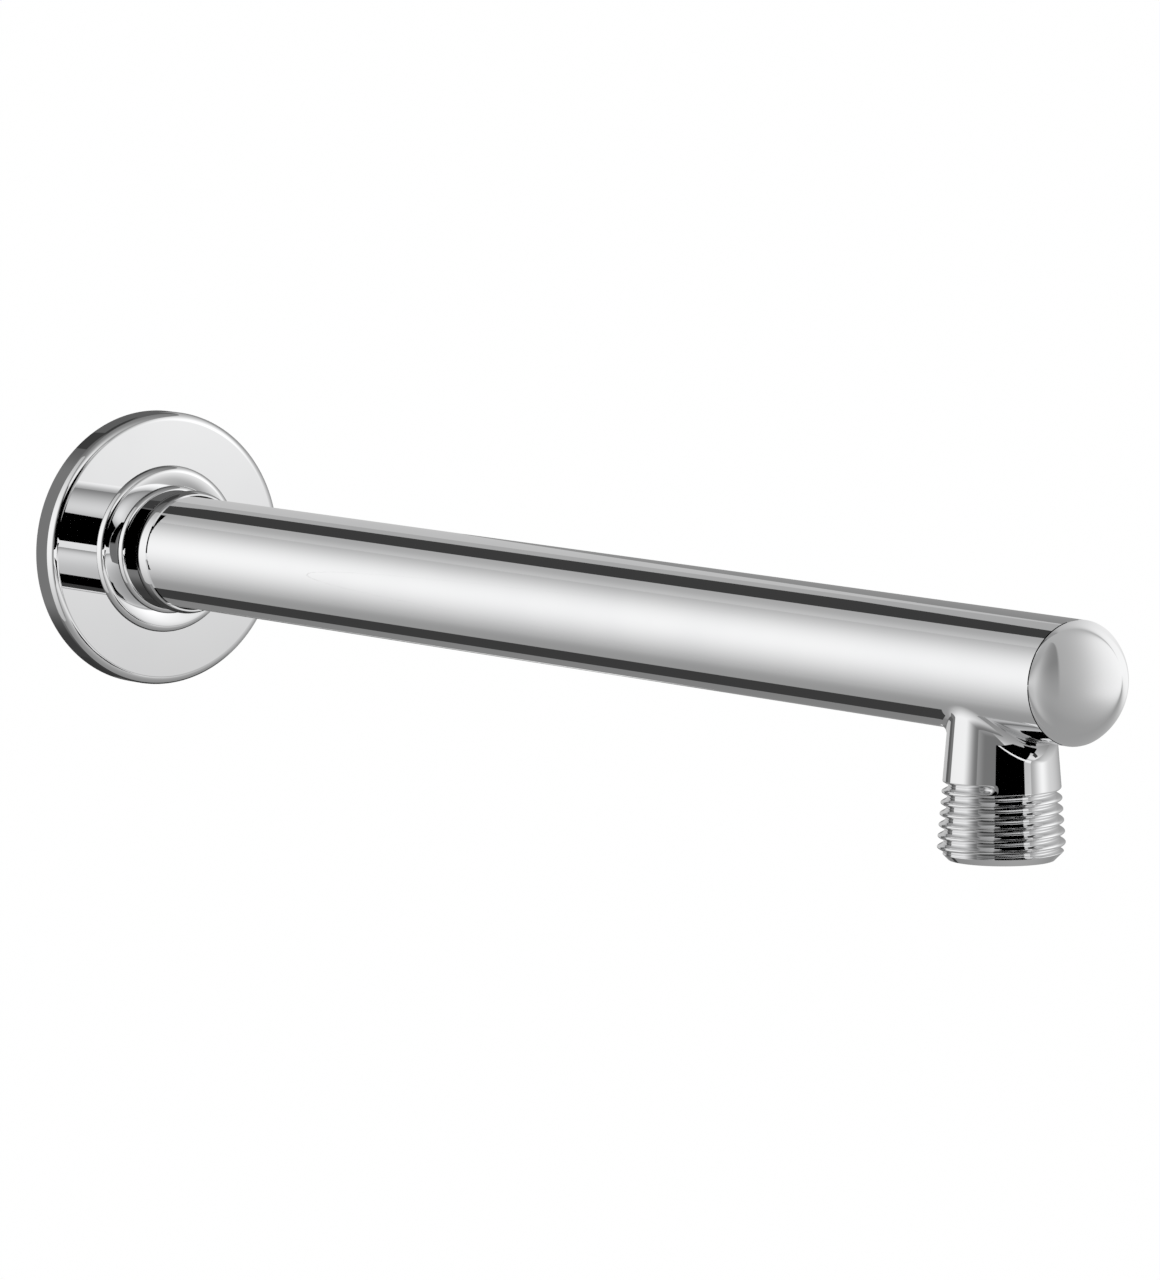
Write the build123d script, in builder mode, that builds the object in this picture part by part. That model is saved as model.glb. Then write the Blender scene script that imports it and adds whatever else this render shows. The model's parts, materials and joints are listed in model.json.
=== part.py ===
from build123d import *
from math import cos, radians, sin, tan
import os

# Wall-mounted shower arm, in millimetres. The origin is the centre of the flange's
# back face, on the wall. The arm runs out of the wall along -Y, its outlet points
# down along -Z, and the threaded inlet stands behind the wall plane along +Y.

# Half-inch parallel pipe thread, drawn at its outside diameter at both ends
thread_diameter = 20.955
inlet_length = 19.0         # threaded stub behind the wall plane
inlet_chamfer = 1.2
runout_length = 0.5         # where a thread runs out into the tube or the neck

# Tube, a little under the thread's size, with the waterway bored from the wall end
tube_under_thread = 0.455   # the tube is this much narrower, so that the flange slips over both
waterway_diameter = 15.0
edge_break = 0.2            # polished corner on both sides of the cap's hairline joint

# Outlet neck, cast with the tube and drafted so that it widens downwards
outlet_reach = 252.3        # wall plane to the outlet's axis
outlet_setback = 19.2       # outlet's axis to the joint between tube and domed cap
outlet_drop = 30.55         # tube axis to the outlet's end face
outlet_thread_length = 9.6
outlet_chamfer = 1.8
neck_under_thread = 1.555   # the neck's lower end is this much narrower than the thread
neck_draft = 4.8            # degrees on each side
neck_blend = 3.5            # fillet between neck and tube
outlet_bore_diameter = 12.0

# Domed cap, soldered into the open end of the tube
dome_height = 6.4
cap_spigot_length = 5.0
cap_spigot_wall = 2.0
solder_gap = 0.05

# Wall flange, turned in one piece with a stepped hub, free to slide on the tube
flange_diameter = 50.7
flange_side = 3.6           # height of the cylindrical rim
rim_round = 1.6             # rounding from the rim to the flat front
running_gap = 0.1           # between the flange and the thread that it slips over
relief_depth = 2.4          # hollow ring in the back, so that only rim and hub meet the wall
relief_rim = 2.6            # width of the rim that meets the wall
relief_hub = 3.4            # width of the hub that meets the wall

# Steps of the hub, from the flat front outwards
boss_wall = 4.9             # outside of the boss to the bore
boss_height = 1.25
boss_dish = 0.25            # the boss's front falls back towards the first bead by this much
collar_rise = 0.78          # first bead, over the throat
collar_width = 1.75
throat_wall = 0.5           # plain band between the beads, over the bore
throat_length = 3.7
lip_rise = 0.3              # bead that closes on the tube, over the throat
lip_width = 3.0
lip_wall = 0.3              # left at the bead's front edge

# Sealing ring in the flange's bore, which grips the tube
ring_section = 1.6          # square, with its corners cut
ring_corner = 0.4
ring_gap = 0.1              # between the ring and the tube, and in its groove
groove_width = 2.4
groove_depth_from_wall = 3.2

thread_radius = thread_diameter / 2
tube_radius = thread_radius - tube_under_thread / 2
waterway_radius = waterway_diameter / 2
seam_reach = outlet_reach + outlet_setback

# The arm: tube, inlet thread and outlet neck are one casting
outlet_end_radius = thread_radius - outlet_chamfer
thread_top = outlet_drop - outlet_chamfer - outlet_thread_length
neck_bottom = thread_top - runout_length
neck_lower_radius = thread_radius - neck_under_thread / 2
neck_centre_radius = neck_lower_radius - neck_bottom * tan(radians(neck_draft))
outlet_axis = Axis((0, -outlet_reach, 0), (0, 0, 1))

with BuildPart() as arm:
    with BuildSketch(Plane.XY) as tube_section:
        with BuildLine():
            Polyline(
                (0, inlet_length),
                (thread_radius - inlet_chamfer, inlet_length),
                (thread_radius, inlet_length - inlet_chamfer),
                (thread_radius, 0),
                (tube_radius, -runout_length),
                (tube_radius, edge_break - seam_reach),
                (tube_radius - edge_break, -seam_reach),
                (0, -seam_reach),
                close=True,
            )
        make_face()
    revolve(axis=Axis.Y)
    with BuildSketch(Plane((0, -outlet_reach, 0), x_dir=(1, 0, 0), z_dir=(0, -1, 0))) as neck_section:
        with BuildLine():
            Polyline(
                (0, 0),
                (neck_centre_radius, 0),
                (neck_lower_radius, -neck_bottom),
                (thread_radius, -thread_top),
                (thread_radius, outlet_chamfer - outlet_drop),
                (outlet_end_radius, -outlet_drop),
                (0, -outlet_drop),
                close=True,
            )
        make_face()
    revolve(axis=outlet_axis)
    blend_edges = arm.edges(Select.LAST).filter_by_position(
        Axis.Z, -tube_radius, 0, inclusive=(True, False)
    ).filter_by(GeomType.BSPLINE)
    fillet(blend_edges, radius=neck_blend)
    with BuildSketch(Plane.XZ.offset(-inlet_length)) as waterway_section:
        Circle(waterway_radius)
    extrude(amount=inlet_length + seam_reach, mode=Mode.SUBTRACT)
    with BuildSketch(Plane.XY.offset(-outlet_drop)) as outlet_section:
        with Locations((0, -outlet_reach)):
            Circle(outlet_bore_diameter / 2)
    extrude(amount=outlet_drop, mode=Mode.SUBTRACT)

# The domed cap: part of a ball on a short hollow spigot
dome_radius = (tube_radius ** 2 + dome_height ** 2) / (2 * dome_height)
dome_centre = seam_reach + dome_height - dome_radius
dome_tip = seam_reach + dome_height
spigot_radius = waterway_radius - solder_gap
rim_point = (tube_radius - edge_break, -seam_reach)
break_rise = dome_centre + (dome_radius ** 2 - tube_radius ** 2) ** 0.5 + edge_break
break_radius = (dome_radius ** 2 - (break_rise - dome_centre) ** 2) ** 0.5
middle_radius = dome_radius * sin(radians(45))
middle_rise = dome_centre + dome_radius * cos(radians(45))

with BuildPart() as end_cap:
    with BuildSketch(Plane.XY) as cap_section:
        with BuildLine():
            Line((0, -dome_tip), (0, cap_spigot_wall - seam_reach))
            Polyline(
                (0, cap_spigot_wall - seam_reach),
                (spigot_radius - cap_spigot_wall, cap_spigot_wall - seam_reach),
                (spigot_radius - cap_spigot_wall, cap_spigot_length - seam_reach),
                (spigot_radius, cap_spigot_length - seam_reach),
                (spigot_radius, -seam_reach),
                rim_point,
                (break_radius, -break_rise),
            )
            ThreePointArc((break_radius, -break_rise), (middle_radius, -middle_rise), (0, -dome_tip))
        make_face()
    revolve(axis=Axis.Y)

# The wall flange: one turned profile, from the wall round the rim, up the hub and back down the bore
flange_radius = flange_diameter / 2
bore_radius = thread_radius + running_gap
hub_land_radius = bore_radius + relief_hub
rim_land_radius = flange_radius - relief_rim
front = flange_side + rim_round
boss_radius = bore_radius + boss_wall
boss_front = front + boss_height
collar_start = boss_front - boss_dish
collar_end = collar_start + collar_width
throat_end = collar_end + throat_length
hub_front = throat_end + lip_width
throat_radius = bore_radius + throat_wall
collar_radius = throat_radius + collar_rise
collar_root_radius = (collar_radius + throat_radius) / 2
groove_radius = tube_radius + ring_section + 2 * ring_gap
groove_end = groove_depth_from_wall + groove_width
round_reach = rim_round * cos(radians(45))
boss_reach = boss_height * cos(radians(45))
lip_edge_radius = bore_radius + lip_wall

with BuildPart() as wall_flange:
    with BuildSketch(Plane.XY) as flange_section:
        with BuildLine():
            Polyline(
                (bore_radius, 0),
                (hub_land_radius, 0),
                (hub_land_radius, -relief_depth),
                (rim_land_radius, -relief_depth),
                (rim_land_radius, 0),
                (flange_radius, 0),
                (flange_radius, -flange_side),
            )
            ThreePointArc(
                (flange_radius, -flange_side),
                (flange_radius - rim_round + round_reach, -flange_side - round_reach),
                (flange_radius - rim_round, -front),
            )
            Line((flange_radius - rim_round, -front), (boss_radius, -front))
            ThreePointArc(
                (boss_radius, -front),
                (boss_radius - boss_height + boss_reach, -front - boss_reach),
                (boss_radius - boss_height, -boss_front),
            )
            TangentArc(
                (boss_radius - boss_height, -boss_front),
                (collar_root_radius, -collar_start),
                tangent=(-1, 0),
            )
            ThreePointArc(
                (collar_root_radius, -collar_start),
                (collar_radius, -(collar_start + collar_end) / 2),
                (throat_radius, -collar_end),
            )
            Line((throat_radius, -collar_end), (throat_radius, -throat_end))
            ThreePointArc(
                (throat_radius, -throat_end),
                (throat_radius + lip_rise, -(throat_end + hub_front) / 2),
                (lip_edge_radius, -hub_front),
            )
            Polyline(
                (lip_edge_radius, -hub_front),
                (bore_radius, -hub_front),
                (bore_radius, -groove_end),
                (groove_radius, -groove_end),
                (groove_radius, -groove_depth_from_wall),
                (bore_radius, -groove_depth_from_wall),
                (bore_radius, 0),
            )
        make_face()
    revolve(axis=Axis.Y)

# The sealing ring: lathe-cut rubber of square section that lies in the flange's groove
ring_centre_radius = tube_radius + ring_gap + ring_section / 2
ring_rise = groove_depth_from_wall + groove_width / 2

with BuildPart() as flange_ring:
    with BuildSketch(Plane.XY) as ring_cut:
        with Locations((ring_centre_radius, -ring_rise)):
            Rectangle(ring_section, ring_section)
        chamfer(ring_cut.vertices(), length=ring_corner)
    revolve(axis=Axis.Y)

arm.part.label = "arm"
end_cap.part.label = "end_cap"
wall_flange.part.label = "wall_flange"
flange_ring.part.label = "flange_ring"

os.makedirs("parts", exist_ok=True)
export_step(arm.part, "parts/arm.step")
export_step(end_cap.part, "parts/end_cap.step")
export_step(wall_flange.part, "parts/wall_flange.step")
export_step(flange_ring.part, "parts/flange_ring.step")
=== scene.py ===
import json
import math

import bmesh
import bpy
import numpy as np
from mathutils import Matrix, Vector


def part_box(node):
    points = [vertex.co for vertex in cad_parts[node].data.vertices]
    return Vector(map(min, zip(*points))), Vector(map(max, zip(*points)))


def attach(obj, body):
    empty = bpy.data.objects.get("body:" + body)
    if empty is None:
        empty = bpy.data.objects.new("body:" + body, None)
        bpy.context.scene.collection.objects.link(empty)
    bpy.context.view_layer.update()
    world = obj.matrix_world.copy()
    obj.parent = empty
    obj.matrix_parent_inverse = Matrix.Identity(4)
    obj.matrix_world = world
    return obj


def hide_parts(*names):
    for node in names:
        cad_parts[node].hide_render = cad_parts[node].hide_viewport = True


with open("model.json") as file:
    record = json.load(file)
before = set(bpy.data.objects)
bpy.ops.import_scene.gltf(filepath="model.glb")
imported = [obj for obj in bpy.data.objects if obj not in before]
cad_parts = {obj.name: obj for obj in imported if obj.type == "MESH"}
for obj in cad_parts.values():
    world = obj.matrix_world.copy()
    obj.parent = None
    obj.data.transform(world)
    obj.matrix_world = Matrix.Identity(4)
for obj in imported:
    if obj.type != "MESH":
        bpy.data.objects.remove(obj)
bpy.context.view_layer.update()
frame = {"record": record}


# The arm is one brass casting: a straight tube with a short outlet neck blended into
# its underside. It is turned, bored, threaded at both ends, then polished and chromed.
# The wall plane is y = 0 and the arm runs out along -Y.
mounts = {mount["name"]: mount for mount in frame["record"]["mounts"]}
thread_radius = mounts["outlet_thread"]["dims"]["r_mm"] / 1000
outlet_y = mounts["outlet_thread"]["pos_m"][1]
arm_low, arm_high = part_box("arm")
tube_under_thread = 0.000455   # the tube is this much narrower, so that the flange slips over both
tube_radius = thread_radius - tube_under_thread / 2
inlet_end = arm_high.y
outlet_end = arm_low.z
seam_reach = -arm_low.y

waterway_radius = 0.0075
outlet_bore_radius = 0.006
edge_break = 0.00012           # polished corner on both sides of the cap's joint
mouth_break = 0.0003           # corners of the bores' mouths
runout_length = 0.0005         # from the tube down to the inlet thread
neck_draft = math.radians(4.8)
neck_foot_drop = 0.01865
neck_foot_radius = 0.0097
neck_blend = 0.0035
neck_axis_radius = neck_foot_radius - neck_foot_drop * math.tan(neck_draft)

outlet_columns = 320           # points round the outlet's axis, a multiple of 8
tube_columns = outlet_columns // 4
blend_rows = 18
neck_rows = 6
tube_wall_rows = 22
waterway_wall_rows = 12
tube_rings = 40
waterway_rings = 5
weld_distance = 1e-6


class Skin:
    """Patches of points with their true normals, welded into one closed mesh."""

    def __init__(self):
        self.points = np.zeros((0, 3))
        self.normals = np.zeros((0, 3))
        self.faces = []

    def add(self, points, normals, faces):
        """Points with their normals, and faces of three or four corners, turned to face outwards."""
        corners = points[faces]
        facing = np.cross(corners[:, 2] - corners[:, 0], corners[:, -1] - corners[:, 1])
        inward = np.einsum("ij,ij->i", facing, normals[faces].mean(axis=1)) < 0
        faces = np.where(inward[:, None], faces[:, ::-1], faces)
        self.faces += (faces + len(self.points)).tolist()
        self.points = np.vstack([self.points, points])
        self.normals = np.vstack([self.normals, normals])

    def patch(self, points, normals):
        """A grid of rows and columns, with a quad between each four neighbours."""
        rows, columns = points.shape[:2]
        index = np.arange(rows * columns).reshape(rows, columns)
        quads = np.stack([index[:-1, :-1], index[:-1, 1:], index[1:, 1:], index[1:, :-1]], axis=-1)
        facing = np.broadcast_to(normals, points.shape)
        self.add(points.reshape(-1, 3), facing.reshape(-1, 3), quads.reshape(-1, 4))

    def turned(self, runs, angles):
        """Runs of a profile turned about the arm's axis, at these angles from straight down."""
        sines, cosines, zeros = np.sin(angles), np.cos(angles), np.zeros_like(angles)
        radial = np.stack([sines, zeros, -cosines], axis=-1)
        outward = np.array([0.0, -1.0, 0.0])
        for places, normals in runs:
            points = places.real[:, None, None] * radial + places.imag[:, None, None] * outward
            facing = normals.real[:, None, None] * radial + normals.imag[:, None, None] * outward
            self.patch(points, facing)

    def sleeve(self, mesh, place):
        """A finished mesh with smooth normals, moved to its place."""
        mesh.transform(place)
        mesh.calc_loop_triangles()
        points = np.array([vertex.co for vertex in mesh.vertices])
        normals = np.array([vertex.normal for vertex in mesh.vertices])
        self.add(points, normals, np.array([triangle.vertices for triangle in mesh.loop_triangles]))

    def finished(self, name, material):
        """The welded mesh as an object, with the true normals on its corners."""
        mesh = bpy.data.meshes.new(name)
        mesh.from_pydata(self.points.tolist(), [], self.faces)
        corners = np.concatenate(self.faces)
        kept = mesh.attributes.new("true_normal", "FLOAT_VECTOR", "CORNER")
        kept.data.foreach_set("vector", self.normals[corners].ravel())
        shell = bmesh.new()
        shell.from_mesh(mesh)
        bmesh.ops.remove_doubles(shell, verts=shell.verts, dist=weld_distance)
        bmesh.ops.dissolve_degenerate(shell, edges=shell.edges, dist=weld_distance)
        shell.to_mesh(mesh)
        shell.free()
        normals = np.zeros(len(mesh.loops) * 3, np.float32)
        mesh.attributes["true_normal"].data.foreach_get("vector", normals)
        mesh.shade_smooth()
        mesh.normals_split_custom_set(normals.reshape(-1, 3).tolist())
        mesh.attributes.remove(mesh.attributes["true_normal"])
        mesh.materials.append(material)
        piece = bpy.data.objects.new(name, mesh)
        bpy.context.scene.collection.objects.link(piece)
        return piece


def straight(start, end):
    """A straight run of a profile, from one (radius, reach) to another."""
    ends = np.array([complex(*start), complex(*end)])
    normal = -1j * (ends[1] - ends[0]) / abs(ends[1] - ends[0])
    return ends, np.array([normal, normal])


def arc(start, middle, end, steps=20):
    """A round run of a profile through three places."""
    first, between, last = complex(*start), complex(*middle), complex(*end)
    ratio = (last - first) / (between - first)
    centre = first + (between - first) * (ratio - abs(ratio) ** 2) / (2j * ratio.imag)
    sweep = np.angle((last - centre) / (first - centre))
    side = np.sign(np.angle((between - centre) / (first - centre)))
    if sweep * side < 0:
        sweep += side * 2 * math.pi
    spokes = (first - centre) * np.exp(1j * sweep * np.linspace(0, 1, steps + 1))
    return centre + spokes, side * spokes / abs(first - centre)


# Chrome over polished brass. The plate is a mirror with a faint haze that drifts over
# the surface and hairlines left by the buffing wheel. Inside the bores the brass is bare.
class Wire:
    """A node's output: operators on it add Math nodes, and node() adds any other kind."""

    def __init__(self, tree, socket=None):
        self.tree = tree
        self.socket = socket

    def node(self, kind, settings=None, inputs=None, output=0):
        made = self.tree.nodes.new(kind)
        for name, value in (settings or {}).items():
            setattr(made, name, value)
        for name, value in (inputs or {}).items():
            self.feed(made.inputs[name], value)
        return Wire(self.tree, made.outputs[output])

    def feed(self, socket, value):
        if isinstance(value, Wire):
            self.tree.links.new(value.socket, socket)
        else:
            socket.default_value = value

    def math(self, operation, *values):
        return self.node("ShaderNodeMath", {"operation": operation}, dict(enumerate(values)))

    def __add__(self, other):
        return self.math("ADD", self, other)

    def __sub__(self, other):
        return self.math("SUBTRACT", self, other)

    def __rsub__(self, other):
        return self.math("SUBTRACT", other, self)

    def __mul__(self, other):
        return self.math("MULTIPLY", self, other)

    def __truediv__(self, other):
        return self.math("DIVIDE", self, other)

    def __pow__(self, other):
        return self.math("POWER", self, other)

    __radd__ = __add__
    __rmul__ = __mul__

    def rise(self, start, end):
        """0 below start, 1 above end and smooth between."""
        limits = {"Value": self, "From Min": start, "From Max": end}
        return self.node("ShaderNodeMapRange", {"interpolation_type": "SMOOTHSTEP"}, limits)

    def glow(self, centre, spread):
        """1 at the centre, with a soft fall on both sides."""
        offset = (self - centre) / spread
        return self.math("EXPONENT", offset * offset * -1)

    def mix(self, first, second):
        """A colour between two, by this share of the second."""
        return self.node("ShaderNodeMix", {"data_type": "RGBA"}, {0: self, 6: first, 7: second}, 2)

    def noise(self, stretch, scale, detail):
        """Noise on these coordinates, finer along the axes with a larger stretch."""
        place = self.node("ShaderNodeVectorMath", {"operation": "MULTIPLY"}, {0: self, 1: stretch})
        return self.node("ShaderNodeTexNoise", {}, {"Vector": place, "Scale": scale, "Detail": detail})


bore_margin = 0.0002           # the brass shows this far outside a bore's wall
bore_fade = 1.02               # and is gone at this share of the square of that radius
outlet_bore_top = -0.006       # about the height at which the outlet's bore meets the waterway
outlet_bore_fade = 0.0005
seam_fade = 0.0001             # the brass ends this far past the joint with the cap
chrome = bpy.data.materials.new("polished_chrome")
chrome.use_nodes = True
chrome_shader = chrome.node_tree.nodes["Principled BSDF"]
plate = Wire(chrome.node_tree)
place = plate.node("ShaderNodeTexCoord", output="Object")
x, y, z = [plate.node("ShaderNodeSeparateXYZ", {}, {0: place}, axis) for axis in "XYZ"]


def inside_bore(across, along, bore_radius):
    """1 inside a bore and 0 outside it, from the two distances to its axis."""
    square = (bore_radius + bore_margin) ** 2
    return 1 - (across * across + along * along).rise(square, square * bore_fade)


in_waterway = inside_bore(x, z, waterway_radius) * y.rise(-seam_reach - seam_fade, -seam_reach)
in_outlet = inside_bore(x, y - outlet_y, outlet_bore_radius)
in_outlet = in_outlet * (1 - z.rise(outlet_bore_top - outlet_bore_fade, outlet_bore_top + outlet_bore_fade))
bare = plate.math("MAXIMUM", in_waterway, in_outlet)
haze = place.noise((1, 1, 1), 45, 3).rise(0.35, 0.75)
hairlines = place.noise((1, 0.03, 1), 2600, 2).rise(0.55, 0.8)
turning_marks = place.noise((0.1, 1, 0.1), 1800, 2)
plate_colour = haze.mix((0.86, 0.862, 0.866, 1), (0.835, 0.838, 0.845, 1))
brass_colour = turning_marks.mix((0.60, 0.42, 0.18, 1), (0.78, 0.60, 0.30, 1))
plate_roughness = 0.010 + 0.008 * haze + 0.006 * hairlines
brass_roughness = 0.3 + 0.2 * turning_marks
plate.feed(chrome_shader.inputs["Base Color"], bare.mix(plate_colour, brass_colour))
plate.feed(chrome_shader.inputs["Roughness"], plate_roughness * (1 - bare) + brass_roughness * bare)
chrome_shader.inputs["Metallic"].default_value = 1.0


# Both threads are half-inch pipe threads, one groove cut as a right-hand helix into
# the plain end. The groove starts abruptly, and the free end is chamfered across it.
thread_pitch = 0.0254 / 14
thread_depth = 0.00105
groove_sharpness = 1.15
groove_entry = 0.05            # share of a turn in which the groove reaches its depth
shank_blend = 0.0002           # softens the step from the shank to the thread
chamfer_blend = 0.00015        # softens the chamfer's edge

thread_tree = bpy.data.node_groups.new("pipe_thread", "GeometryNodeTree")
thread_tree.interface.new_socket("Geometry", in_out="OUTPUT", socket_type="NodeSocketGeometry")
thread_inputs = {}
for input_name, socket_type in [
    ("Columns", "NodeSocketInt"),
    ("Turns", "NodeSocketInt"),
    ("Rows Per Turn", "NodeSocketInt"),
    ("Pitch", "NodeSocketFloat"),
    ("Depth", "NodeSocketFloat"),
    ("Length", "NodeSocketFloat"),
    ("Shank Radius", "NodeSocketFloat"),
    ("Shank Slope", "NodeSocketFloat"),
    ("Outside Radius", "NodeSocketFloat"),
    ("End Radius", "NodeSocketFloat"),
    ("Groove Start", "NodeSocketFloat"),
    ("Material", "NodeSocketMaterial"),
]:
    thread_inputs[input_name] = thread_tree.interface.new_socket(
        input_name, in_out="INPUT", socket_type=socket_type
    ).identifier

ink = Wire(thread_tree)
group_input = thread_tree.nodes.new("NodeGroupInput")
size = {name: Wire(thread_tree, group_input.outputs[name]) for name in thread_inputs}
columns_across = size["Columns"] + 1
rows_along = size["Turns"] * size["Rows Per Turn"] + 1
sheet = ink.node(
    "GeometryNodeMeshGrid",
    {},
    {"Size X": 1.0, "Size Y": 1.0, "Vertices X": columns_across, "Vertices Y": rows_along},
)
place = ink.node("GeometryNodeInputPosition")
turn_share = ink.node("ShaderNodeSeparateXYZ", {}, {0: place}, "X") + 0.5
row_share = ink.node("ShaderNodeSeparateXYZ", {}, {0: place}, "Y") + 0.5
helix = (row_share * size["Turns"] - 1 + turn_share) * size["Pitch"]
along = helix.math("MINIMUM", helix.math("MAXIMUM", helix, 0.0), size["Length"])
groove_turns = (along - size["Groove Start"]) / size["Pitch"] - turn_share
groove_number = groove_turns.math("ROUND", groove_turns)
across_groove = groove_turns - groove_number
groove_shape = across_groove.math("COSINE", across_groove * (2 * math.pi)) * 0.5 + 0.5
groove_share = (groove_number + turn_share).rise(0.0, groove_entry)
blank = along.math(
    "SMOOTH_MIN", size["Shank Radius"] + along * size["Shank Slope"], size["Outside Radius"], shank_blend
)
cut = blank - size["Depth"] * groove_share * groove_shape ** groove_sharpness
chamfer = size["End Radius"] + size["Length"] - along
radius = along.math("SMOOTH_MIN", cut, chamfer, chamfer_blend)
angle = turn_share * (2 * math.pi)
helix_place = ink.node(
    "ShaderNodeCombineXYZ",
    {},
    {"X": radius * angle.math("COSINE", angle), "Y": radius * angle.math("SINE", angle), "Z": along},
)
moved = ink.node("GeometryNodeSetPosition", {}, {"Geometry": sheet, "Position": helix_place})
welded = ink.node("GeometryNodeMergeByDistance", {}, {"Geometry": moved, "Distance": weld_distance})
smooth = ink.node("GeometryNodeSetShadeSmooth", {}, {"Geometry": welded})
realized = ink.node("GeometryNodeRealizeInstances", {}, {"Geometry": smooth})
dressed = ink.node("GeometryNodeSetMaterial", {}, {"Geometry": realized, "Material": size["Material"]})
group_output = thread_tree.nodes.new("NodeGroupOutput")
thread_tree.links.new(dressed.socket, group_output.inputs["Geometry"])


def threaded_end(name, columns, rows_per_turn, length, shank_radius, shank_slope, end_radius, groove_start):
    """The mesh of one threaded end, with its free end along +Z."""
    values = {
        "Columns": columns,
        "Turns": math.ceil(length / thread_pitch) + 1,
        "Rows Per Turn": rows_per_turn,
        "Pitch": thread_pitch,
        "Depth": thread_depth,
        "Length": length,
        "Shank Radius": shank_radius,
        "Shank Slope": shank_slope,
        "Outside Radius": thread_radius,
        "End Radius": end_radius,
        "Groove Start": groove_start,
        "Material": chrome,
    }
    blank_mesh = bpy.data.meshes.new(name)
    holder = bpy.data.objects.new(name, blank_mesh)
    bpy.context.scene.collection.objects.link(holder)
    modifier = holder.modifiers.new(name, "NODES")
    modifier.node_group = thread_tree
    for input_name, value in values.items():
        modifier[thread_inputs[input_name]] = value
    evaluated = holder.evaluated_get(bpy.context.evaluated_depsgraph_get())
    mesh = bpy.data.meshes.new_from_object(evaluated)
    bpy.data.objects.remove(holder)
    bpy.data.meshes.remove(blank_mesh)
    return mesh


# The neck and its blend into the tube: a ball of the blend's radius rolls round the
# neck and touches tube and neck, and the blend is the path of its near side.
arm_skin = Skin()
turn = np.linspace(0, 2 * math.pi, outlet_columns + 1)
cosines = np.cos(turn)
sines = np.sin(turn)
ball_z = np.full_like(turn, -tube_radius - neck_blend)
settling_steps = 40
for _ in range(settling_steps):
    ball_radius = neck_axis_radius - ball_z * math.tan(neck_draft) + neck_blend / math.cos(neck_draft)
    ball_z = -np.sqrt((tube_radius + neck_blend) ** 2 - (ball_radius * cosines) ** 2)
ball = np.stack([ball_radius * cosines, outlet_y + ball_radius * sines, ball_z], axis=-1)
to_tube = -ball * (1, 0, 1) / (tube_radius + neck_blend)
neck_normal = np.stack(
    [math.cos(neck_draft) * cosines, math.cos(neck_draft) * sines, np.full_like(turn, math.sin(neck_draft))],
    axis=-1,
)
corner_angle = np.arccos(np.einsum("ij,ij->i", to_tube, -neck_normal))[:, None]
share = np.linspace(0, 1, blend_rows + 1)[:, None, None]
to_blend = np.sin((1 - share) * corner_angle) * to_tube - np.sin(share * corner_angle) * neck_normal
to_blend = to_blend / np.sin(corner_angle)
blend_points = ball + neck_blend * to_blend
arm_skin.patch(blend_points, -to_blend)

sleeve_drop = 0.0170           # where the plain neck ends and the threaded end starts
neck_top = blend_points[-1, :, 2]
share = np.linspace(0, 1, neck_rows + 1)[:, None]
neck_z = neck_top + (-sleeve_drop - neck_top) * share
neck_radii = neck_axis_radius - neck_z * math.tan(neck_draft)
neck_points = np.stack([neck_radii * cosines, outlet_y + neck_radii * sines, neck_z], axis=-1)
arm_skin.patch(neck_points, neck_normal)

# The outlet's end is threaded for a shower head and faced flat. Its bore is drilled up
# into the waterway and meets it in a saddle.
groove_column = 117            # the groove starts on the side away from the wall
groove_azimuth = -groove_column / outlet_columns * 2 * math.pi
outlet_chamfer = 0.0018
outlet_tip_radius = thread_radius - outlet_chamfer
outlet_sleeve = threaded_end(
    "outlet_thread",
    columns=outlet_columns,
    rows_per_turn=24,
    length=-outlet_end - sleeve_drop,
    shank_radius=neck_axis_radius + sleeve_drop * math.tan(neck_draft),
    shank_slope=math.tan(neck_draft),
    end_radius=outlet_tip_radius,
    groove_start=0.0011,
)
outlet_place = np.array([
    [math.cos(groove_azimuth), math.sin(groove_azimuth), 0, 0],
    [math.sin(groove_azimuth), -math.cos(groove_azimuth), 0, outlet_y],
    [0, 0, -1, -sleeve_drop],
    [0, 0, 0, 1],
])
arm_skin.sleeve(outlet_sleeve, Matrix(outlet_place.tolist()))


def outlet_rings(radii, heights):
    """Rings of points round the outlet's axis."""
    rings = [
        np.stack([radius * cosines, outlet_y + radius * sines, np.broadcast_to(height, turn.shape)], axis=-1)
        for radius, height in zip(radii, heights)
    ]
    return np.array(rings)


radial = np.stack([cosines, sines, np.zeros_like(turn)], axis=-1)
down = np.array([0.0, 0.0, -1.0])
mouth_radius = outlet_bore_radius + mouth_break
saddle_z = -np.sqrt(waterway_radius ** 2 - (outlet_bore_radius * cosines) ** 2)
arm_skin.patch(outlet_rings([outlet_tip_radius, mouth_radius], [outlet_end, outlet_end]), down)
arm_skin.patch(
    outlet_rings([mouth_radius, outlet_bore_radius], [outlet_end, outlet_end + mouth_break]),
    (down - radial) * math.sqrt(0.5),
)
arm_skin.patch(
    outlet_rings([outlet_bore_radius, outlet_bore_radius], [outlet_end + mouth_break, saddle_z]), -radial
)


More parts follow.
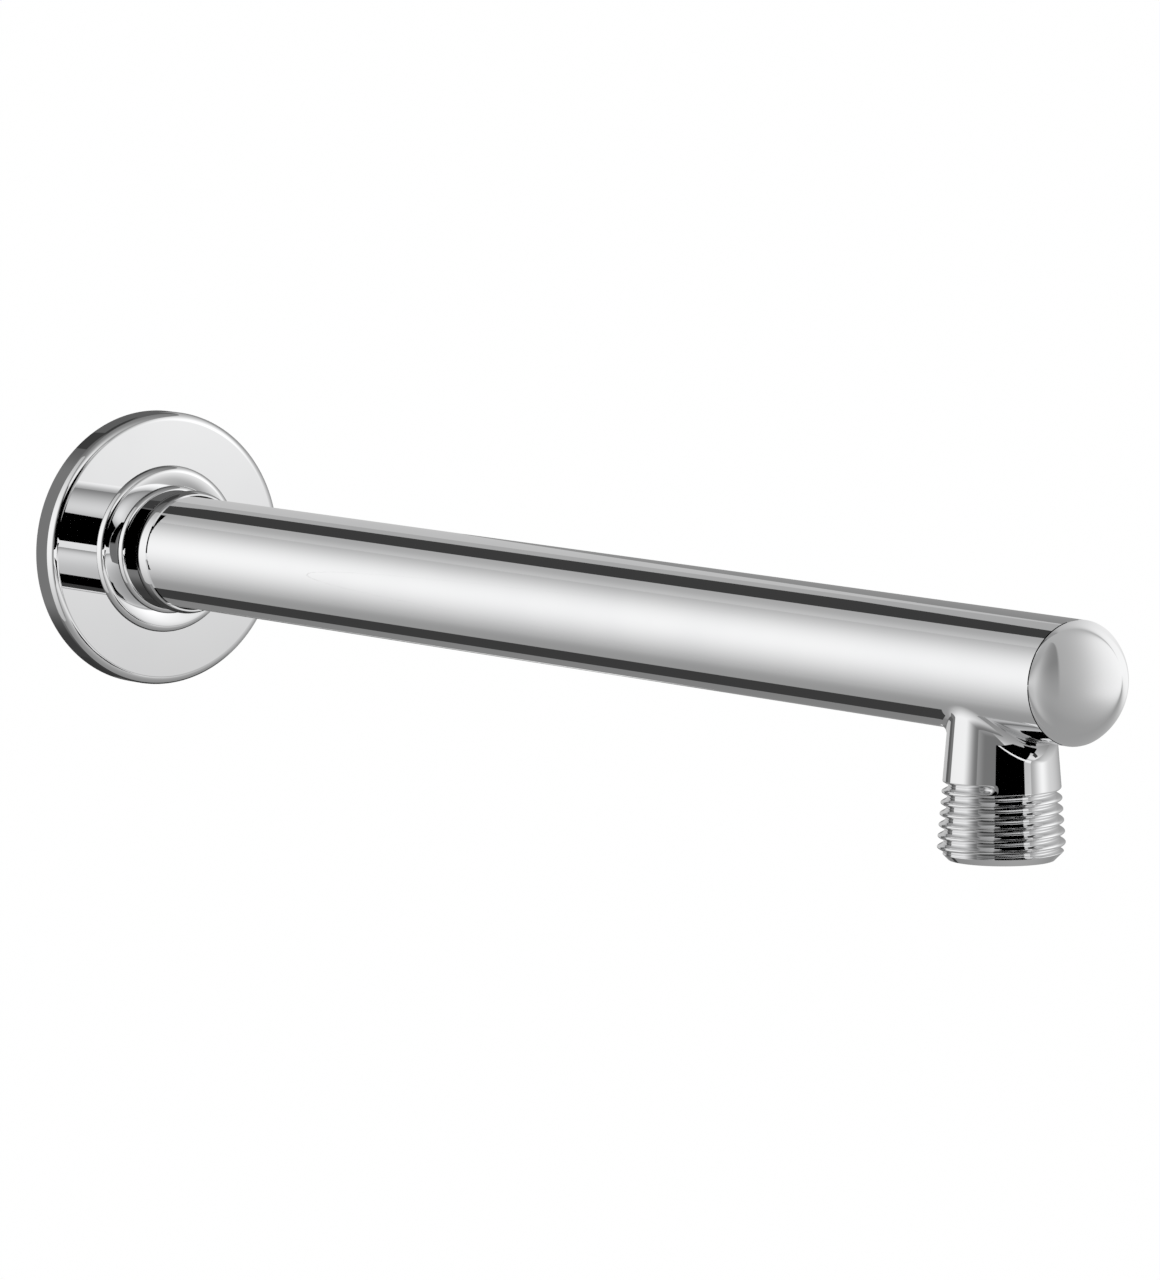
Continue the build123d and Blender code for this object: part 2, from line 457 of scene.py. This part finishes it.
def round_wall(wall_radius, hole, half_length, rows):
    """A stretch of a round wall about the outlet, from the rim of a hole to a full ring at either end."""
    share = np.linspace(0, 1, rows + 1)[:, None]
    hole_angle = np.arctan2(hole[:, 0], -hole[:, 2])
    ring_angle = math.pi * np.clip(math.sqrt(2) * cosines, -1, 1)
    ring_offset = half_length * np.clip(math.sqrt(2) * sines, -1, 1)
    wall_angle = hole_angle + (ring_angle - hole_angle) * share
    wall_y = hole[:, 1] + (outlet_y + ring_offset - hole[:, 1]) * share
    normals = np.stack([np.sin(wall_angle), np.zeros_like(wall_angle), -np.cos(wall_angle)], axis=-1)
    return wall_radius * normals + wall_y[..., None] * np.array([0.0, 1.0, 0.0]), normals


# The tube runs straight from the joint with the cap back to the wall, and the waterway
# is bored through it from the wall end.
tube_half = seam_reach - edge_break + outlet_y
wall_points, wall_normals = round_wall(tube_radius, blend_points[0], tube_half, tube_wall_rows)
arm_skin.patch(wall_points, wall_normals)
saddle = outlet_rings([outlet_bore_radius], [saddle_z])[0]
waterway_half = seam_reach + outlet_y
wall_points, wall_normals = round_wall(waterway_radius, saddle, waterway_half, waterway_wall_rows)
arm_skin.patch(wall_points, -wall_normals)

eighth = outlet_columns // 8
cap_side = math.pi * math.sqrt(2) * cosines[5 * eighth:7 * eighth + 1]
cap_side[[0, -1]] = -math.pi, math.pi
arm_skin.turned(
    [
        straight((tube_radius, seam_reach - edge_break), (tube_radius - edge_break, seam_reach)),
        straight((tube_radius - edge_break, seam_reach), (waterway_radius, seam_reach)),
    ],
    cap_side,
)
wall_side = math.pi * math.sqrt(2) * cosines[eighth:3 * eighth + 1]
wall_side[[0, -1]] = math.pi, -math.pi
even = np.linspace(math.pi, -math.pi, tube_columns + 1)


def plain_wall(wall_radius, reaches):
    """The plain stretch of a round wall, whose points even out round the ring within its first step."""
    angles = np.vstack([wall_side, np.tile(even, (len(reaches) - 1, 1))])
    normals = np.stack([np.sin(angles), np.zeros_like(angles), -np.cos(angles)], axis=-1)
    return wall_radius * normals - np.array(reaches)[:, None, None] * np.array([0.0, 1.0, 0.0]), normals


tube_reaches = np.linspace(-outlet_y - tube_half, runout_length, tube_rings)
wall_points, wall_normals = plain_wall(tube_radius, tube_reaches)
arm_skin.patch(wall_points, wall_normals)
waterway_reaches = np.linspace(-outlet_y - waterway_half, mouth_break - inlet_end, waterway_rings)
wall_points, wall_normals = plain_wall(waterway_radius, waterway_reaches)
arm_skin.patch(wall_points, -wall_normals)

# The inlet stub stands behind the wall plane. It is threaded like the outlet, is faced
# flat at its end and screws into the elbow in the wall.
inlet_chamfer = 0.0012
inlet_tip_radius = thread_radius - inlet_chamfer
inlet_sleeve = threaded_end(
    "inlet_thread",
    columns=tube_columns,
    rows_per_turn=16,
    length=inlet_end,
    shank_radius=thread_radius,
    shank_slope=0.0,
    end_radius=inlet_tip_radius,
    groove_start=0.0014,
)
inlet_place = Matrix(((0, -1, 0, 0), (0, 0, 1, 0), (-1, 0, 0, 0), (0, 0, 0, 1)))
arm_skin.sleeve(inlet_sleeve, inlet_place)
arm_skin.turned(
    [
        straight((waterway_radius, mouth_break - inlet_end), (waterway_radius + mouth_break, -inlet_end)),
        straight((waterway_radius + mouth_break, -inlet_end), (inlet_tip_radius, -inlet_end)),
        straight((thread_radius, 0), (tube_radius, runout_length)),
    ],
    even,
)

arm = arm_skin.finished("arm_casting", chrome)
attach(arm, "arm")
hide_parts("arm")


# The domed cap closes the tube: part of a ball, turned with a hollow spigot that is
# soldered into the waterway. A hairline joint shows where it meets the tube.
dome_tip = -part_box("end_cap")[0].y
dome_height = dome_tip - seam_reach
dome_radius = (tube_radius ** 2 + dome_height ** 2) / (2 * dome_height)
dome_centre = dome_tip - dome_radius
cap_columns = 192
dome_rows = 48
solder_gap = 0.00005
spigot_radius = waterway_radius - solder_gap
spigot_wall = 0.002
spigot_length = 0.005
break_reach = dome_centre + math.sqrt(dome_radius ** 2 - tube_radius ** 2) + edge_break
break_radius = math.sqrt(dome_radius ** 2 - (break_reach - dome_centre) ** 2)
half_right_angle = math.radians(45)
dome_middle = (
    dome_radius * math.sin(half_right_angle),
    dome_centre + dome_radius * math.cos(half_right_angle),
)

cap_skin = Skin()
cap_skin.turned(
    [
        straight((0, seam_reach - spigot_wall), (spigot_radius - spigot_wall, seam_reach - spigot_wall)),
        straight(
            (spigot_radius - spigot_wall, seam_reach - spigot_wall),
            (spigot_radius - spigot_wall, seam_reach - spigot_length),
        ),
        straight(
            (spigot_radius - spigot_wall, seam_reach - spigot_length),
            (spigot_radius, seam_reach - spigot_length),
        ),
        straight((spigot_radius, seam_reach - spigot_length), (spigot_radius, seam_reach)),
        straight((spigot_radius, seam_reach), (tube_radius - edge_break, seam_reach)),
        straight((tube_radius - edge_break, seam_reach), (break_radius, break_reach)),
        arc((break_radius, break_reach), dome_middle, (0, dome_tip), dome_rows),
    ],
    np.linspace(math.pi, -math.pi, cap_columns + 1),
)
cap = cap_skin.finished("domed_cap", chrome)
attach(cap, "arm")
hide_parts("end_cap")


# The wall flange is turned from one brass blank: a flat plate with a rounded rim, a
# stepped hub with two beads that closes on the tube, and a hollow back. It is chromed.
flange_low, flange_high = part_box("wall_flange")
flange_radius = flange_high.x
hub_front = -flange_low.y
flange_columns = 288
running_gap = 0.0001           # between the flange and the thread that it slips over
flange_side = 0.0036           # height of the cylindrical rim
rim_round = 0.0016
relief_depth = 0.0024          # hollow ring in the back
relief_rim = 0.0026            # widths of the two lands that meet the wall
relief_hub = 0.0034
boss_wall = 0.0049
boss_height = 0.00125
boss_dish = 0.00025            # the boss's front falls back by this much
collar_rise = 0.00078          # first bead, over the throat
collar_width = 0.00175
throat_wall = 0.0005           # plain band between the beads
throat_length = 0.0037
lip_rise = 0.0003              # bead that closes on the tube
lip_wall = 0.0003
groove_depth = 0.0018          # for the sealing ring, from the tube outwards
groove_width = 0.0024
groove_near = 0.0032

flange_bore = thread_radius + running_gap
flange_front = flange_side + rim_round
land_inner = flange_bore + relief_hub
land_outer = flange_radius - relief_rim
boss_radius = flange_bore + boss_wall
boss_front = flange_front + boss_height
throat_radius = flange_bore + throat_wall
collar_radius = throat_radius + collar_rise
collar_root = (collar_radius + throat_radius) / 2
collar_start = boss_front - boss_dish
collar_end = collar_start + collar_width
throat_end = collar_end + throat_length
lip_radius = throat_radius + lip_rise
lip_edge = flange_bore + lip_wall
groove_radius = tube_radius + groove_depth
groove_far = groove_near + groove_width
rim_diagonal = rim_round * math.cos(half_right_angle)
boss_diagonal = boss_height * math.cos(half_right_angle)
dish_width = boss_radius - boss_height - collar_root
dish_radius = (dish_width ** 2 + boss_dish ** 2) / (2 * boss_dish)
dish_middle = (
    boss_radius - boss_height - dish_width / 2,
    boss_front - dish_radius + math.sqrt(dish_radius ** 2 - (dish_width / 2) ** 2),
)

flange_skin = Skin()
flange_skin.turned(
    [
        straight((flange_bore, 0), (land_inner, 0)),
        straight((land_inner, 0), (land_inner, relief_depth)),
        straight((land_inner, relief_depth), (land_outer, relief_depth)),
        straight((land_outer, relief_depth), (land_outer, 0)),
        straight((land_outer, 0), (flange_radius, 0)),
        straight((flange_radius, 0), (flange_radius, flange_side)),
        arc(
            (flange_radius, flange_side),
            (flange_radius - rim_round + rim_diagonal, flange_side + rim_diagonal),
            (flange_radius - rim_round, flange_front),
        ),
        straight((flange_radius - rim_round, flange_front), (boss_radius, flange_front)),
        arc(
            (boss_radius, flange_front),
            (boss_radius - boss_height + boss_diagonal, flange_front + boss_diagonal),
            (boss_radius - boss_height, boss_front),
        ),
        arc((boss_radius - boss_height, boss_front), dish_middle, (collar_root, collar_start)),
        arc(
            (collar_root, collar_start),
            (collar_radius, (collar_start + collar_end) / 2),
            (throat_radius, collar_end),
        ),
        straight((throat_radius, collar_end), (throat_radius, throat_end)),
        arc((throat_radius, throat_end), (lip_radius, (throat_end + hub_front) / 2), (lip_edge, hub_front)),
        straight((lip_edge, hub_front), (flange_bore, hub_front)),
        straight((flange_bore, hub_front), (flange_bore, groove_far)),
        straight((flange_bore, groove_far), (groove_radius, groove_far)),
        straight((groove_radius, groove_far), (groove_radius, groove_near)),
        straight((groove_radius, groove_near), (flange_bore, groove_near)),
        straight((flange_bore, groove_near), (flange_bore, 0)),
    ],
    np.linspace(math.pi, -math.pi, flange_columns + 1),
)
flange = flange_skin.finished("stepped_flange", chrome)
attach(flange, "flange")
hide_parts("wall_flange")


# The sealing ring is lathe-cut from black nitrile rubber and lies in a groove in the
# flange's bore, where it grips the tube. Its cut faces are matt and a little dusty.
rubber = bpy.data.materials.new("seal_rubber")
rubber.use_nodes = True
rubber_shader = rubber.node_tree.nodes["Principled BSDF"]
sheet_rubber = Wire(rubber.node_tree)
place = sheet_rubber.node("ShaderNodeTexCoord", output="Object")
grain = place.noise((1, 1, 1), 2400, 3)
dust = place.noise((1, 1, 1), 260, 4).rise(0.5, 0.8)
knife_marks = place.noise((0.1, 1, 0.1), 3000, 2)
rubber_colour = dust.mix((0.022, 0.022, 0.023, 1), (0.060, 0.058, 0.055, 1))
sheet_rubber.feed(rubber_shader.inputs["Base Color"], rubber_colour)
sheet_rubber.feed(rubber_shader.inputs["Roughness"], 0.52 + 0.14 * grain + 0.16 * dust)
cut_face = sheet_rubber.node(
    "ShaderNodeBump", {}, {"Strength": 0.25, "Distance": 0.00005, "Height": grain * 0.5 + knife_marks}
)
sheet_rubber.feed(rubber_shader.inputs["Normal"], cut_face)
ring = bpy.data.objects["flange_ring"]
ring.material_slots[0].material = rubber


# The camera stands to the left of the arm and a little above it, with a long lens. Its
# place is measured from the middle of the flange's back.
image_width = 1160
image_height = 1280
focal_pixels = 8500
camera_azimuth = math.radians(-35.93)
camera_elevation = math.radians(6.356)
camera_distance = 1.5801       # to the plane through the middle of the flange's back
wall_centre_left = 0.07962     # of the picture's middle
wall_centre_up = 0.01739

back = Vector((
    math.sin(camera_azimuth) * math.cos(camera_elevation),
    -math.cos(camera_azimuth) * math.cos(camera_elevation),
    math.sin(camera_elevation),
))
right = Vector((0, 0, 1)).cross(back).normalized()
up = back.cross(right)
lens = bpy.data.cameras.new("camera")
lens.sensor_width = 36
lens.lens = focal_pixels / max(image_width, image_height) * lens.sensor_width
lens.clip_start = 0.01
camera = bpy.data.objects.new("camera", lens)
camera.location = back * camera_distance + right * wall_centre_left - up * wall_centre_up
camera.rotation_mode = "QUATERNION"
camera.rotation_quaternion = (-back).to_track_quat("-Z", "Y")
bpy.context.scene.collection.objects.link(camera)
bpy.context.scene.camera = camera

bpy.context.scene.view_settings.view_transform = "Standard"


# The studio is a tent of plain cloth round the arm, which only the chrome mirrors, with a
# soft light on either side and black cards near the outlet. A brightness of 1 is white.
# The dome has lamps of its own, and the tube doesn't mirror the flange.
flange.visible_glossy = False
tent_left = -0.29
tent_right = 0.50
tent_front = -1.6
tent_fold = 0.1                # where the cloth above and the cloth below are divided
tent_back = 1.2
tent_bottom = -0.33
tent_top = 0.60
cloth_end = -2.0               # the cloth's left end, well past the left light
lamp_gap = 0.0005              # between the cloth and a lamp or second cloth beside it
left_lamp_gap = 0.0001         # closer, so that the seam between card and lamp hardly shows
back_lamp_gap = 0.01
cap_lamp_gap = 0.001           # for the lamps at the dome's sides


def group(name, pieces):
    """The pieces that a light reaches."""
    members = bpy.data.collections.new(name)
    for piece in pieces:
        members.objects.link(piece)
    return members


arm_and_flange = group("arm_and_flange", [arm, flange])
arm_alone = group("arm_alone", [arm])
flange_alone = group("flange_alone", [flange])
cap_alone = group("cap_alone", [cap])


def shining(tree, output, shine):
    """Light whose brightness is a rule on the place."""
    paint = Wire(tree)
    spot = paint.node("ShaderNodeNewGeometry", output="Position")
    x, y, z = [paint.node("ShaderNodeSeparateXYZ", {}, {0: spot}, axis) for axis in "XYZ"]
    light = paint.node("ShaderNodeEmission", {}, {"Strength": shine(x, y, z)})
    paint.feed(tree.nodes[output].inputs["Surface"], light)


def rectangle(low, high):
    """The four corners of a flat rectangle, from two opposite ones."""
    corners = [list(low), list(low), list(high), list(high)]
    first = [axis for axis in range(3) if low[axis] != high[axis]][0]
    corners[1][first] = high[first]
    corners[3][first] = low[first]
    return corners


def card(name, corners, shine, reached=arm_and_flange):
    """A flat card, hidden from the camera."""
    mesh = bpy.data.meshes.new(name)
    mesh.from_pydata(corners, [], [range(len(corners))])
    cloth = bpy.data.materials.new(name)
    cloth.use_nodes = True
    shining(cloth.node_tree, "Material Output", shine)
    mesh.materials.append(cloth)
    sheet = bpy.data.objects.new(name, mesh)
    bpy.context.scene.collection.objects.link(sheet)
    sheet.visible_camera = False
    sheet.visible_diffuse = False
    sheet.visible_shadow = False
    sheet.light_linking.receiver_collection = reached
    return sheet


def lamp(name, low, high, shine, facing, reached):
    """A flat lamp between two opposite corners, which hides nothing behind it."""
    spans = [abs(end - start) for start, end in zip(low, high)]
    tilt, sides = {
        "+X": ((math.radians(90), 0, math.radians(-90)), (1, 2)),
        "-X": ((math.radians(90), 0, math.radians(90)), (1, 2)),
        "+Y": ((math.radians(90), 0, 0), (0, 2)),
        "-Y": ((math.radians(90), 0, math.radians(180)), (0, 2)),
        "+Z": ((math.radians(180), 0, 0), (0, 1)),
        "-Z": ((0, 0, 0), (0, 1)),
    }[facing]
    light = bpy.data.lights.new(name, "AREA")
    light.shape = "RECTANGLE"
    light.size, light.size_y = [spans[side] for side in sides]
    light.energy = math.pi * light.size * light.size_y
    light.use_nodes = True
    shining(light.node_tree, "Light Output", shine)
    holder = bpy.data.objects.new(name, light)
    holder.location = [(start + end) / 2 for start, end in zip(low, high)]
    holder.rotation_euler = tilt
    holder.visible_camera = False
    bpy.context.scene.collection.objects.link(holder)
    holder.light_linking.receiver_collection = reached


def left_over_grey(z):
    """How much brighter than grey the left light is at a height."""
    upward = (z - 0.05) / 0.28
    edge = 0.05 + 0.13 * z.rise(-0.1, 0.2)
    return edge + (0.85 - edge) / (upward * upward + 1)


def left_light(x, y, z):
    return 0.2 + left_over_grey(z) * y.rise(-0.25, -0.08)


def left_cloth_light(x, y, z):
    return (0.2 + 0.12 * y.rise(-0.45, -0.26)) * (1 - z.rise(0.04, 0.09))


def left_far_light(x, y, z):
    along = (y + 0.015) / 1.53
    return left_over_grey(z) * (1 - (along * along - z * z).rise(0.088, 0.11))


def right_light(x, y, z):
    lift = 0.78 + 0.42 * (z - 0.55 * y).rise(0.2, 0.4)
    return (0.36 + 0.70 * y.glow(-0.52, 0.5) * z.glow(0.13, 0.45)) * lift


def front_light(x, y, z):
    return 1.0 - 0.60 * z.rise(-0.1, 0.1) + 0.7 * z.rise(0.4, 0.6)


def top_light(x, y, z):
    return 0.24 + 0.80 * x.glow(-0.33, 0.53) * y.glow(-0.8, 0.4)


def top_back_light(x, y, z):
    return 0.44 + 0.16 * x.glow(-0.29, 0.12)


def table_light(x, y, z):
    return 0.28 + 0.6 * y.glow(-0.9, 0.5)


def table_back_light(x, y, z):
    return 0.24 + 0.10 * (1 - x.rise(-0.05, 0.1)) + 0.18 * x.glow(-0.29, 0.1)


def rim_top_light(x, y, z):
    return 0.12 + 0.08 * x.glow(-0.29, 0.15)


def rim_bottom_light(x, y, z):
    return 0.04 + 0.16 * x.glow(-0.29, 0.15)


def back_right_light(x, y, z):
    return 0.07 + 0.38 * z.rise(-0.28, -0.24)


def cap_light(x, y, z):
    bend = z * z * (16.5 + 233 * (1 - z.rise(-0.004, 0.001)))
    offset = x - bend + 0.0020
    width = 1.2 * bend + 0.005
    rightward = offset / (offset * offset + width * width) ** 0.5
    from_right = 0.63 * (rightward * 0.5 + 0.5) ** 1.3
    upper_left = 0.20 * x.rise(-0.03, -0.0095) * z.rise(-0.006, 0.010)
    upper_left = upper_left * (1 - (x + z * z * 4.5).rise(-0.0103, -0.0090))
    lower_left = 0.27 * (1 - x.rise(-0.040, -0.011)) * (1 - z.rise(0.0, 0.03)) * z.rise(-0.06, -0.01)
    return 0.29 + 0.13 * z.rise(-0.015, 0.005) + from_right - upper_left + lower_left


def cap_back_light(x, y, z):
    upper_left = (1 - x.rise(-0.007, -0.003)) * z.rise(0.0, 0.006)
    right_edge = x.rise(0.004, 0.008) * (1 - x.rise(0.0115, 0.0145)) * z.glow(0.001, 0.006)
    return (cap_light(x, y, z) - 0.15 * upper_left) * (1 - 0.3 * right_edge)


def black(x, y, z):
    return 0.0


def dark(x, y, z):
    return 0.05


def grey(x, y, z):
    return 0.2


def dim(x, y, z):
    return 0.12


left_end = 0.34                # the left card ends here, and its lamp goes on
card(
    "left_softbox",
    rectangle((tent_left, -0.26, -0.75), (tent_left, left_end, tent_top)),
    left_light,
)
lamp(
    "left_softbox_far",
    (tent_left + left_lamp_gap, left_end, -0.75),
    (tent_left + left_lamp_gap, 1.3, tent_top),
    left_far_light,
    "+X",
    arm_alone,
)
card(
    "right_softbox",
    rectangle((tent_right, tent_front, -1.2), (tent_right, 0.6, 1.6)),
    right_light,
)
card(
    "front_cloth",
    rectangle((cloth_end, tent_front, tent_bottom), (tent_right, tent_front, tent_top)),
    front_light,
)
card(
    "left_cloth",
    rectangle((-0.60, -0.75, tent_bottom), (-0.60, -0.2, tent_top)),
    left_cloth_light,
)
card(
    "left_cloth_back",
    rectangle((tent_left - lamp_gap, left_end, tent_bottom), (tent_left - lamp_gap, tent_back, tent_top)),
    grey,
)
card(
    "top_cloth",
    rectangle((cloth_end, tent_front, tent_top), (tent_right, tent_fold, tent_top)),
    top_light,
)
card(
    "top_cloth_back",
    rectangle((cloth_end, tent_fold, tent_top), (tent_right, tent_back, tent_top)),
    top_back_light,
    arm_alone,
)
lamp(
    "rim_fill_top",
    (tent_left, tent_fold, tent_top - lamp_gap),
    (tent_right, tent_back, tent_top - lamp_gap),
    rim_top_light,
    "-Z",
    flange_alone,
)
card(
    "table_cloth",
    rectangle((cloth_end, tent_front, tent_bottom), (tent_right, tent_fold, tent_bottom)),
    table_light,
)
card(
    "table_cloth_back",
    rectangle((cloth_end, tent_fold, tent_bottom), (tent_right, tent_back, tent_bottom)),
    table_back_light,
    arm_alone,
)
lamp(
    "rim_fill_bottom",
    (tent_left, tent_fold, tent_bottom + lamp_gap),
    (tent_right, tent_back, tent_bottom + lamp_gap),
    rim_bottom_light,
    "+Z",
    flange_alone,
)
back_half = 2.0
card(
    "back_cloth",
    rectangle((-back_half, tent_back, -back_half), (back_half, tent_back, back_half)),
    dim,
)
lamp(
    "back_right",
    (0.0, tent_back - back_lamp_gap, -back_half),
    (back_half, tent_back - back_lamp_gap, back_half),
    back_right_light,
    "-Y",
    arm_alone,
)
card("front_card", rectangle((-0.535, -0.685, -0.036), (0.047, -0.685, 0.36)), black)
card("low_card", rectangle((-0.03, -0.42, -0.2), (0.09, -0.285, -0.2)), black)
card("bottom_strip", rectangle((-0.045, tent_fold, -0.30), (0.12, 0.46, -0.30)), dark)
for strip_name, height, outline, shine in [
    ("under_card", -0.06, [(-0.037, -0.28), (0.008, -0.28), (0.026, -0.50), (-0.30, -0.50)], black),
    ("over_card", 0.10, [(-0.050, -0.28), (0.040, -0.288), (0.039, -0.575), (-0.255, -0.415)], black),
    ("table_strip", -0.325, [(0.15, -0.46), (0.35, -0.62), (0.35, -0.80), (0.15, -0.62)], dark),
    ("top_strip", 0.35, [(-0.025, 0.10), (0.07, 0.10), (0.16, 0.26), (0.16, 0.54), (-0.02, 0.54)], dark),
]:
    card(strip_name, [(across, along, height) for across, along in outline], shine)

# A small black card, part of a ring, stands behind the flange and slides with it.
wall_card_y = 0.022
wall_card_inner = 0.013
wall_card_outer = 0.034
wall_card_angles = np.radians(np.linspace(108, 212, 15))
wall_card_corners = [
    (radius * math.cos(angle), wall_card_y, radius * math.sin(angle))
    for radius, angles in [(wall_card_outer, wall_card_angles), (wall_card_inner, wall_card_angles[::-1])]
    for angle in angles
]
wall_card = card("wall_card", wall_card_corners, black)
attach(wall_card, "ring")

# The dome's lamps close a flat box round it, just before its tip and just behind its joint.
cap_front = -0.279
cap_back = -0.2712
cap_half = 1.0
cap_left = tent_left + cap_lamp_gap
cap_right = tent_right - cap_lamp_gap
cap_top = tent_top - cap_lamp_gap
cap_bottom = tent_bottom + cap_lamp_gap
for lamp_name, low, high, shine, facing in [
    ("cap_front", (-cap_half, cap_front, -cap_half), (cap_half, cap_front, cap_half), cap_light, "+Y"),
    ("cap_back", (-cap_half, cap_back, -cap_half), (cap_half, cap_back, cap_half), cap_back_light, "-Y"),
    ("cap_left", (cap_left, cap_front, tent_bottom), (cap_left, cap_back, tent_top), cap_light, "+X"),
    ("cap_right", (cap_right, cap_front, tent_bottom), (cap_right, cap_back, tent_top), cap_light, "-X"),
    ("cap_top", (cap_left, cap_front, cap_top), (cap_right, cap_back, cap_top), cap_light, "-Z"),
    ("cap_bottom", (cap_left, cap_front, cap_bottom), (cap_right, cap_back, cap_bottom), cap_light, "+Z"),
]:
    lamp(lamp_name, low, high, shine, facing, cap_alone)


# Below the tent lies a plain pale floor, under a soft sun from the upper left and a white
# sky. To the camera and in reflections both are white, and they light matt things plainly.
def seen(tree):
    """1 where the camera or a reflection looks, and 0 for the light on matt things."""
    look = Wire(tree)
    ways = ["Is Camera Ray", "Is Glossy Ray", "Is Transmission Ray"]
    camera_ray, glossy_ray, clear_ray = [look.node("ShaderNodeLightPath", output=way) for way in ways]
    return look.math("MAXIMUM", look.math("MAXIMUM", camera_ray, glossy_ray), clear_ray)


floor_half = 30.0
floor_z = -0.45
floor_white = 0.7              # share of the white that the camera sees, over the lit floor
floor_corners = rectangle((-floor_half, -floor_half, floor_z), (floor_half, floor_half, floor_z))
floor_mesh = bpy.data.meshes.new("floor")
floor_mesh.from_pydata(floor_corners, [], [range(4)])
floor_paint = bpy.data.materials.new("floor")
floor_paint.use_nodes = True
floor_tree = floor_paint.node_tree
ground = Wire(floor_tree)
pale = ground.node("ShaderNodeBsdfDiffuse", {}, {"Color": (0.95, 0.95, 0.95, 1)})
white = ground.node("ShaderNodeEmission", {}, {"Strength": 1.0})
ground.feed(
    floor_tree.nodes["Material Output"].inputs["Surface"],
    ground.node("ShaderNodeMixShader", {}, {0: seen(floor_tree) * floor_white, 1: pale, 2: white}),
)
floor_mesh.materials.append(floor_paint)
floor = bpy.data.objects.new("floor", floor_mesh)
bpy.context.scene.collection.objects.link(floor)

sunlight = bpy.data.lights.new("sun", "SUN")
sunlight.energy = 2.1
sunlight.angle = math.radians(25)
sun = bpy.data.objects.new("sun", sunlight)
sun.rotation_euler = (math.radians(25), math.radians(-25), 0)
sun.visible_glossy = False
bpy.context.scene.collection.objects.link(sun)

world = bpy.data.worlds.new("studio")
bpy.context.scene.world = world
world.use_nodes = True
sky = Wire(world.node_tree)
background = world.node_tree.nodes["Background"]
background.inputs["Color"].default_value = (1, 1, 1, 1)
sky_light = 0.5                # on matt things
sky.feed(background.inputs["Strength"], sky_light + (1 - sky_light) * seen(world.node_tree))
